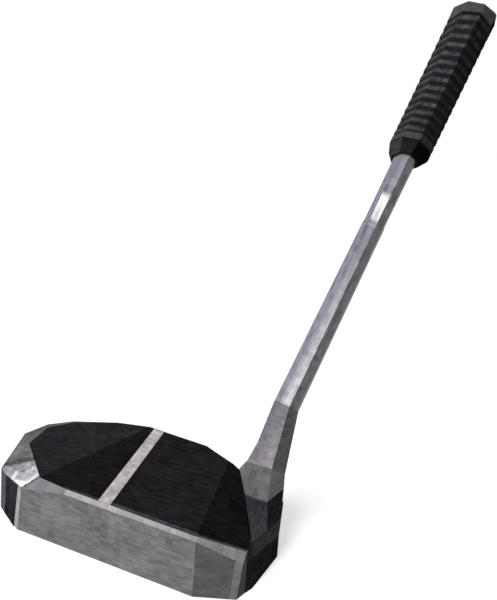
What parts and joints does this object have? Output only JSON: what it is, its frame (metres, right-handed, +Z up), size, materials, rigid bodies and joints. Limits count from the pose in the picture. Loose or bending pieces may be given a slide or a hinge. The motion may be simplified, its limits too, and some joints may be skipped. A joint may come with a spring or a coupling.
{
  "type": "golf putter",
  "caption": "Mallet golf putter with a heavy wide head, flat steel face, heel-mounted hosel, slim faceted shaft and ribbed grip, for rolling a ball.",
  "frame": {"origin": "middle of the sole, on the ground", "axes": "+Z up, -Y the way the face looks, +X towards the heel, so -X towards the toe"},
  "size_m": [0.1564, 0.0608, 0.2258],
  "materials": {
    "satin_steel": "satin, finely brushed",
    "blasted_steel": "bead blasted, satin",
    "polished_steel": "polished",
    "black_anodised": "black anodised, satin",
    "screw_steel": "plain turned steel",
    "white_resin": "matt off-white",
    "damping_polymer": "matt",
    "black_rubber": "matt black",
    "grey_rubber": "matt dark grey",
    "grip_tape_paper": "matt paper tape"
  },
  "bodies": {
    "root": {"head_body": "black_anodised", "face_plate": "satin_steel", "face_pad": "damping_polymer", "face_screw_1": "screw_steel", "face_screw_2": "screw_steel", "face_screw_3": "screw_steel", "face_screw_4": "screw_steel", "crown_plate": "black_anodised", "alignment_line": "white_resin", "crown_screw_1": "screw_steel", "crown_screw_2": "screw_steel", "crown_screw_3": "screw_steel", "crown_screw_4": "screw_steel", "perimeter_rim": "satin_steel", "rim_screw_1": "screw_steel", "rim_screw_2": "screw_steel", "rim_screw_3": "screw_steel", "toe_weight": "screw_steel", "toe_weight_seal": "black_rubber", "heel_weight": "screw_steel", "heel_weight_seal": "black_rubber", "hosel": "blasted_steel", "hosel_bolt": "screw_steel", "hosel_washer": "screw_steel", "shaft": "polished_steel", "shaft_plug": "black_rubber", "grip_tape": "grip_tape_paper", "grip_collar": "grey_rubber", "grip_sleeve": "black_rubber", "grip_cap": "black_rubber"}
  },
  "joints": []
}
